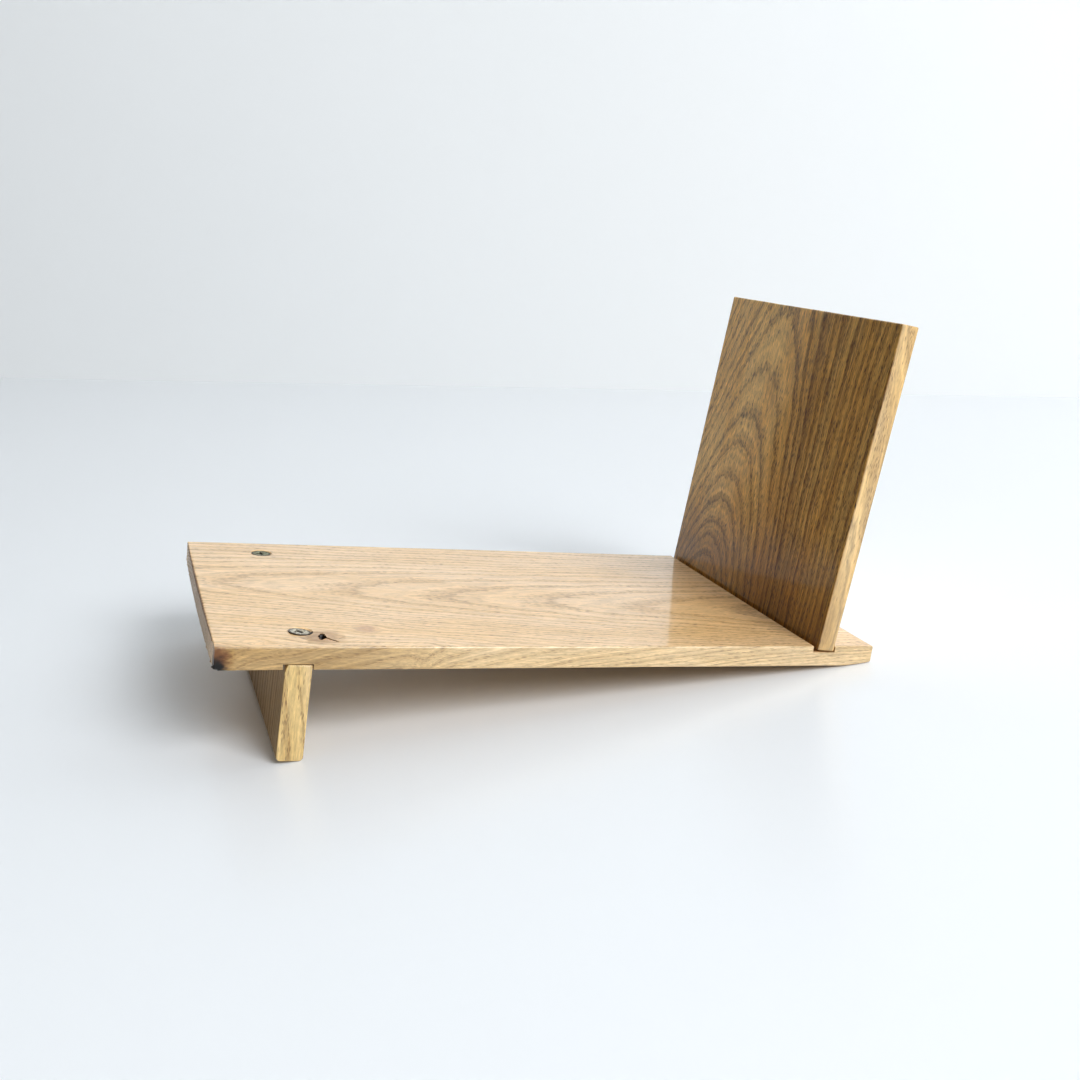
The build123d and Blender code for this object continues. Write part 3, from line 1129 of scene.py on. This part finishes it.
def screw_metal(name, seat, axis, **looks):
    """Plated steel, painted dark inside the head's recess as dust and shade; looks set the group's inputs.
    """
    material, tree, surface = new_material(name)
    tilted = Matrix.Rotation(DECK_TILT, 3, "Y")
    facing = (tilted @ axis).to_track_quat("Z", "Y").to_euler()
    place = own_place(tree, HIGH_END + tilted @ seat, facing)
    head = use_group(tree, zinc, place=place, **looks)
    for label in ("Roughness", "Metallic"):
        tree.links.new(head[label], surface.inputs[label])
    tree.links.new(head["Color"], surface.inputs["Base Color"])
    dent(tree, surface, head["Height"], 0.5, 0.08 * MM)
    return material


WORN = {"plating": (0.76, 0.69, 0.54, 1), "grime": 0.95, "dullness": 0.08}
DULL = {"plating": (0.34, 0.35, 0.24, 1), "grime": 0.85, "dullness": 0.3}
for name, (seat, axis) in SEATS.items():
    looks = WORN if name == "foot_screw_front" else DULL
    screw = nodes[name]
    screw.data.materials.clear()
    screw.data.materials.append(screw_metal(name + "_zinc", seat, axis, **looks))

# %% [markdown]
# ## Table, wall and light
#
# The stand is shown in a bright room: on a pale glossy table, with a pale wall that stands at an angle
# behind it. Both are planes far larger than the view, with a faint mottle, because a perfectly even surface
# looks like paper.

# %% Stage
STAGE_SIZE = 7.0


def pale(name, color, roughness):
    """A plain finish with a faint mottle."""
    material, tree, surface = new_material(name)
    coords = tree.nodes.new("ShaderNodeTexCoord")
    mottle = stretched(tree, coords.outputs["Object"], (0.4, 0.4, 0.4), Detail=2.0)
    share = number(tree, "MULTIPLY", mottle.outputs[0], 0.06)
    plug(tree, surface.inputs["Base Color"], blend(tree, share, color, (0.6, 0.66, 0.72, 1)))
    surface.inputs["Roughness"].default_value = roughness
    return material


def sheet(name, size, centre, turn, finish):
    """A flat sheet with that finish."""
    bpy.ops.object.select_all(action="DESELECT")
    bpy.ops.mesh.primitive_plane_add(size=size, location=centre, rotation=turn)
    plane = bpy.context.active_object
    plane.name = name
    plane.data.materials.append(finish)
    return plane


table = sheet("table", STAGE_SIZE, (0, 0, 0), (0, 0, 0), pale("pale_table", (0.81, 0.825, 0.84, 1), 0.28))
WALL_LEFT = Vector((-0.316, 1.109, 0))
WALL_RIGHT = Vector((0.733, 0.425, 0))
wall_line = WALL_RIGHT - WALL_LEFT
wall_turn = (quarter, 0, math.atan2(wall_line.y, wall_line.x))
wall_middle = (WALL_LEFT + WALL_RIGHT) / 2
wall = sheet("wall", STAGE_SIZE, wall_middle, wall_turn, pale("pale_wall", (0.92, 0.93, 0.93, 1), 0.7))
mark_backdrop(table, wall)

# %% [markdown]
# One big soft lamp, high at the front right, is the window. The rest comes from the sky, which goes from a
# dim, warm side at the left and below to a bright, cool one at the front right, as in a room with one
# window. A very weak lamp in front keeps the upright's face from going black. A dark card stands before
# the wall at the left: the camera doesn't see it, but it takes the wall's glare off the varnish.

# %% Light
SEEN = 0.85  # how bright the sky looks behind the wall
DIM_SIDE, BRIGHT_SIDE = 0.05, 0.47  # how much light it gives
WARM, COOL = (1.0, 0.72, 0.45, 1), (0.84, 0.93, 1.0, 1)
TOWARDS_WINDOW = Vector((0.75, -0.45, 0.5)).normalized()

world = bpy.data.worlds.new("room")
bpy.context.scene.world = world
world.use_nodes = True
sky = world.node_tree
seen = sky.nodes.new("ShaderNodeLightPath").outputs["Is Camera Ray"]
way = sky.nodes.new("ShaderNodeTexCoord").outputs["Generated"]
brighter = smooth(sky, vector(sky, "DOT_PRODUCT", way, TOWARDS_WINDOW), -0.7, 0.7)
cast = number(sky, "MULTIPLY_ADD", brighter, BRIGHT_SIDE - DIM_SIDE, DIM_SIDE)
strength = number(sky, "MULTIPLY_ADD", seen, SEEN, number(sky, "MULTIPLY", inverse(sky, seen), cast))
sky.links.new(strength, sky.nodes["Background"].inputs["Strength"])
tone = blend(sky, seen, blend(sky, brighter, WARM, COOL), (0.95, 0.98, 1.0, 1))
sky.links.new(tone, sky.nodes["Background"].inputs["Color"])


def lamp(name, place, aim, size, power, color):
    """A square soft lamp that faces a point."""
    light = bpy.data.lights.new(name, "AREA")
    light.size = size
    light.energy = power
    light.color = color
    holder = bpy.data.objects.new(name, light)
    bpy.context.scene.collection.objects.link(holder)
    holder.location = place
    holder.rotation_euler = (Vector(place) - Vector(aim)).to_track_quat("Z", "Y").to_euler()


lamp("window", (1.6, -3.1, 2.6), (-0.1, 0.3, 0.05), 2.2, 150, (0.95, 0.975, 1.0))
lamp("front", (-0.5, -2.2, 0.9), (0, 0.1, 0.05), 1.6, 3, (0.93, 0.97, 1.0))
dark_turn = (quarter, 0, math.radians(-15))
dark = pale("reflection_flag", (0.03, 0.03, 0.03, 1), 0.9)
card = sheet("reflection_flag", 1.0, (-1.15, 1.5, 0.5), dark_turn, dark)
card.scale = (1.1, 1.0, 1)
card.visible_camera = False
card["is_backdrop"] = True

# %% [markdown]
# ## Camera
#
# The camera stands a little above the stand and to the left of its middle, and is tipped slightly, as it is
# when held in the hand. Yaw is measured from +Y to the right, pitch is downwards, and roll is the tip.

# %% Camera
CAMERA_PLACE = Vector((-0.17412, -0.51207, 0.21832))
YAW, PITCH, ROLL = (math.radians(x) for x in (19.27, -16.70, -1.26))
camera = bpy.data.objects.new("camera", bpy.data.cameras.new("camera"))
bpy.context.scene.collection.objects.link(camera)
camera.data.sensor_width = 36
camera.data.lens = 39.61
camera.matrix_world = (
    Matrix.Translation(CAMERA_PLACE)
    @ Matrix.Rotation(-YAW, 4, "Z")
    @ Matrix.Rotation(quarter + PITCH, 4, "X")
    @ Matrix.Rotation(ROLL, 4, "Z")
)
camera.data.clip_start = 0.01
bpy.context.scene.camera = camera
bpy.context.scene.view_settings.view_transform = "Standard"
bpy.context.scene.view_settings.look = "Medium High Contrast"

# %% [markdown]
# ## Check the size and hand over
#
# The CAD box and the finished box are printed side by side.

# %% Size and finish
boxes = {"cad": cad_box, "visual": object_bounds()}
for key, (low, high) in boxes.items():
    print(f"{key}: {[round(x / MM, 2) for x in low]} to {[round(x / MM, 2) for x in high]} mm")
